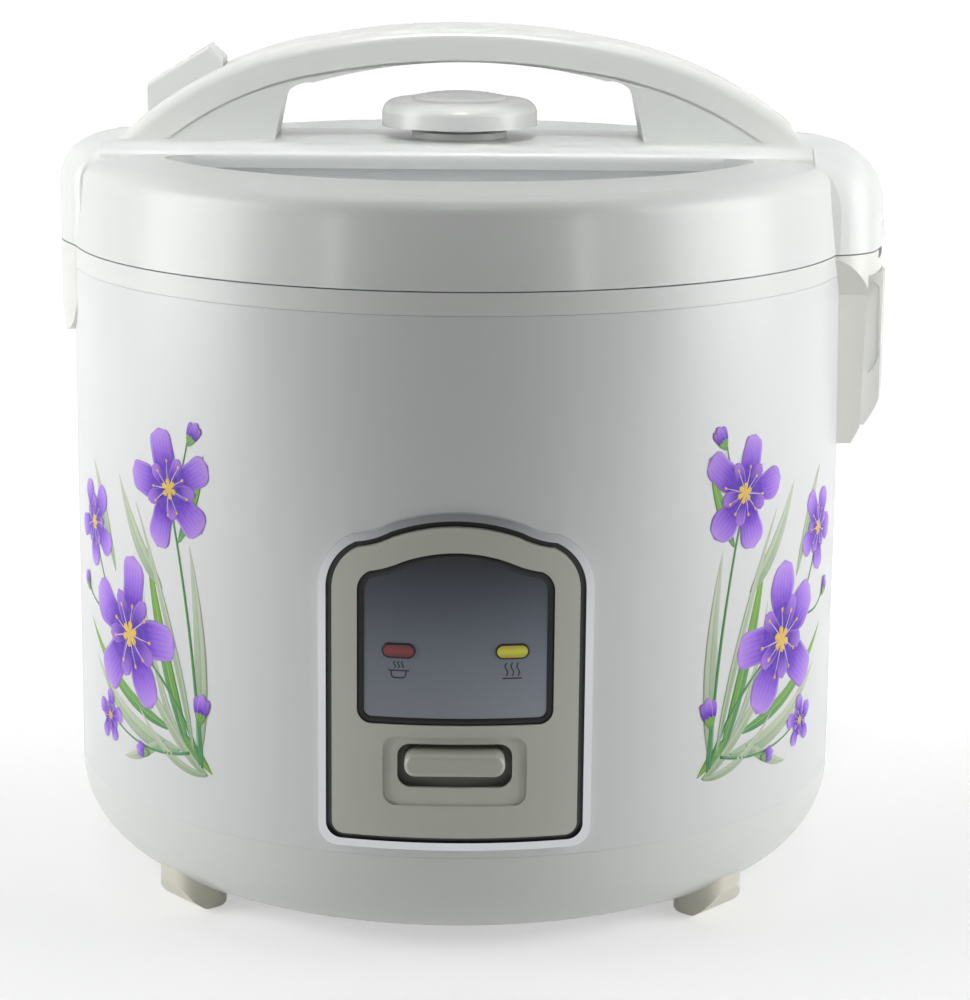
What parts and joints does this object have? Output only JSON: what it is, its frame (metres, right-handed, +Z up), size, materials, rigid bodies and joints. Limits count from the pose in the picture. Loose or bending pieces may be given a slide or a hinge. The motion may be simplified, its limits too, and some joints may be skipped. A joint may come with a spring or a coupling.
{
  "type": "electric rice cooker",
  "caption": "Round electric rice cooker with a hinged lid, glass window, arched carrying handle, lid latch, steam vent cap, dew cup, inner pot and a cook lever on an arched front panel.",
  "frame": {"origin": "on the pot's vertical axis, at the plane the four feet stand on", "axes": "+Z up the pot's axis; -Y out of the front control panel; +X from the lid latch towards the lid hinge, along the handle"},
  "size_m": [0.2795, 0.2695, 0.2846],
  "materials": {
    "shell_white": "gloss enamel",
    "lid_white": "moulded, glossy",
    "cream": "moulded, satin",
    "chrome_trim": "plated",
    "black_trim": "fine matte",
    "panel_grey": "satin",
    "label_blue": "printed film",
    "lens_red": "clear tinted",
    "lens_yellow": "clear tinted",
    "knob_grey": "satin",
    "pot_alloy": "satin anodised",
    "liner_alloy": "plain sheet",
    "cast_alloy": "turned casting",
    "steel": "zinc plated",
    "magnet_dark": "sintered",
    "glass_grey": "toughened",
    "silicone": "translucent silicone",
    "cup_clear": "clear moulding",
    "inlet_black": "fine matte",
    "contact_brass": "plain"
  },
  "bodies": {
    "body": {"base": "lid_white", "bottom_cover": "steel", "foot_front_left": "cream", "foot_front_right": "cream", "foot_rear_right": "cream", "foot_rear_left": "cream", "outer_shell": "shell_white", "top_ring": "lid_white", "panel_bezel": "chrome_trim", "panel_backing": "black_trim", "panel_face": "panel_grey", "label_plate": "label_blue", "cook_lamp_lens": "lens_red", "warm_lamp_lens": "lens_yellow", "inner_pot": "pot_alloy", "inner_liner": "liner_alloy", "heating_plate": "cast_alloy", "plate_post_1": "steel", "plate_post_2": "steel", "plate_post_3": "steel", "sensor_cup": "liner_alloy", "upper_magnet": "magnet_dark", "sensor_case": "steel", "hinge_bracket": "cream", "hinge_pin": "steel", "latch_catch": "cream", "lever_bracket": "steel", "lever_pin": "steel", "power_inlet": "inlet_black", "inlet_pin_1": "contact_brass", "inlet_pin_2": "contact_brass", "inlet_pin_3": "contact_brass"},
    "lid": {"lid_cover": "lid_white", "glass_window": "glass_grey", "lid_frame": "liner_alloy", "lid_gasket": "silicone", "latch_pin": "steel", "handle_cover": "lid_white", "handle_body": "lid_white", "vent_tube": "lid_white", "vent_seal": "silicone"},
    "release_button": {"release_button": "lid_white"},
    "latch_hook": {"latch_hook": "cream"},
    "vent_cap": {"vent_cap": "lid_white"},
    "dew_cup": {"dew_cup": "cup_clear"},
    "cook_lever": {"switch_lever": "steel", "switch_knob": "knob_grey"},
    "magnet_rod": {"magnet_rod": "steel"}
  },
  "joints": [
    {"name": "lid_hinge", "type": "hinge", "parent": "body", "child": "lid", "pos_m": [0.1382, 0, 0.21705], "axis": [0, 1, 0], "range_deg": [0, 80]},
    {"name": "button_press", "type": "slide", "parent": "lid", "child": "release_button", "axis": [0, 0, -1], "range_m": [0, 0.0021], "stiffness_N_per_m": 400, "springref_m": -0.002},
    {"name": "hook_turn", "type": "hinge", "parent": "lid", "child": "latch_hook", "pos_m": [-0.1185, 0, 0.23805], "axis": [0, 1, 0], "range_deg": [0, 6.8]},
    {"name": "cap_lift", "type": "slide", "parent": "lid", "child": "vent_cap", "axis": [0, 0, 1], "range_m": [0, 0.0084]},
    {"name": "cup_pull", "type": "slide", "parent": "body", "child": "dew_cup", "axis": [1, 0, 0], "range_m": [0, 0.03]},
    {"name": "lever_press", "type": "hinge", "parent": "body", "child": "cook_lever", "pos_m": [0, -0.072, 0.033], "axis": [1, 0, 0], "range_deg": [0, 4], "stiffness_Nm_per_rad": 0.5, "springref_deg": -5.73},
    {"name": "rod_rise", "type": "slide", "parent": "body", "child": "magnet_rod", "axis": [0, 0, 1], "range_m": [0, 0.0051]}
  ],
  "couplings": [
    {"joint": "hook_turn", "follows": "button_press", "rad_per_m": 55.556},
    {"joint": "rod_rise", "follows": "lever_press", "m_per_rad": 0.072}
  ]
}
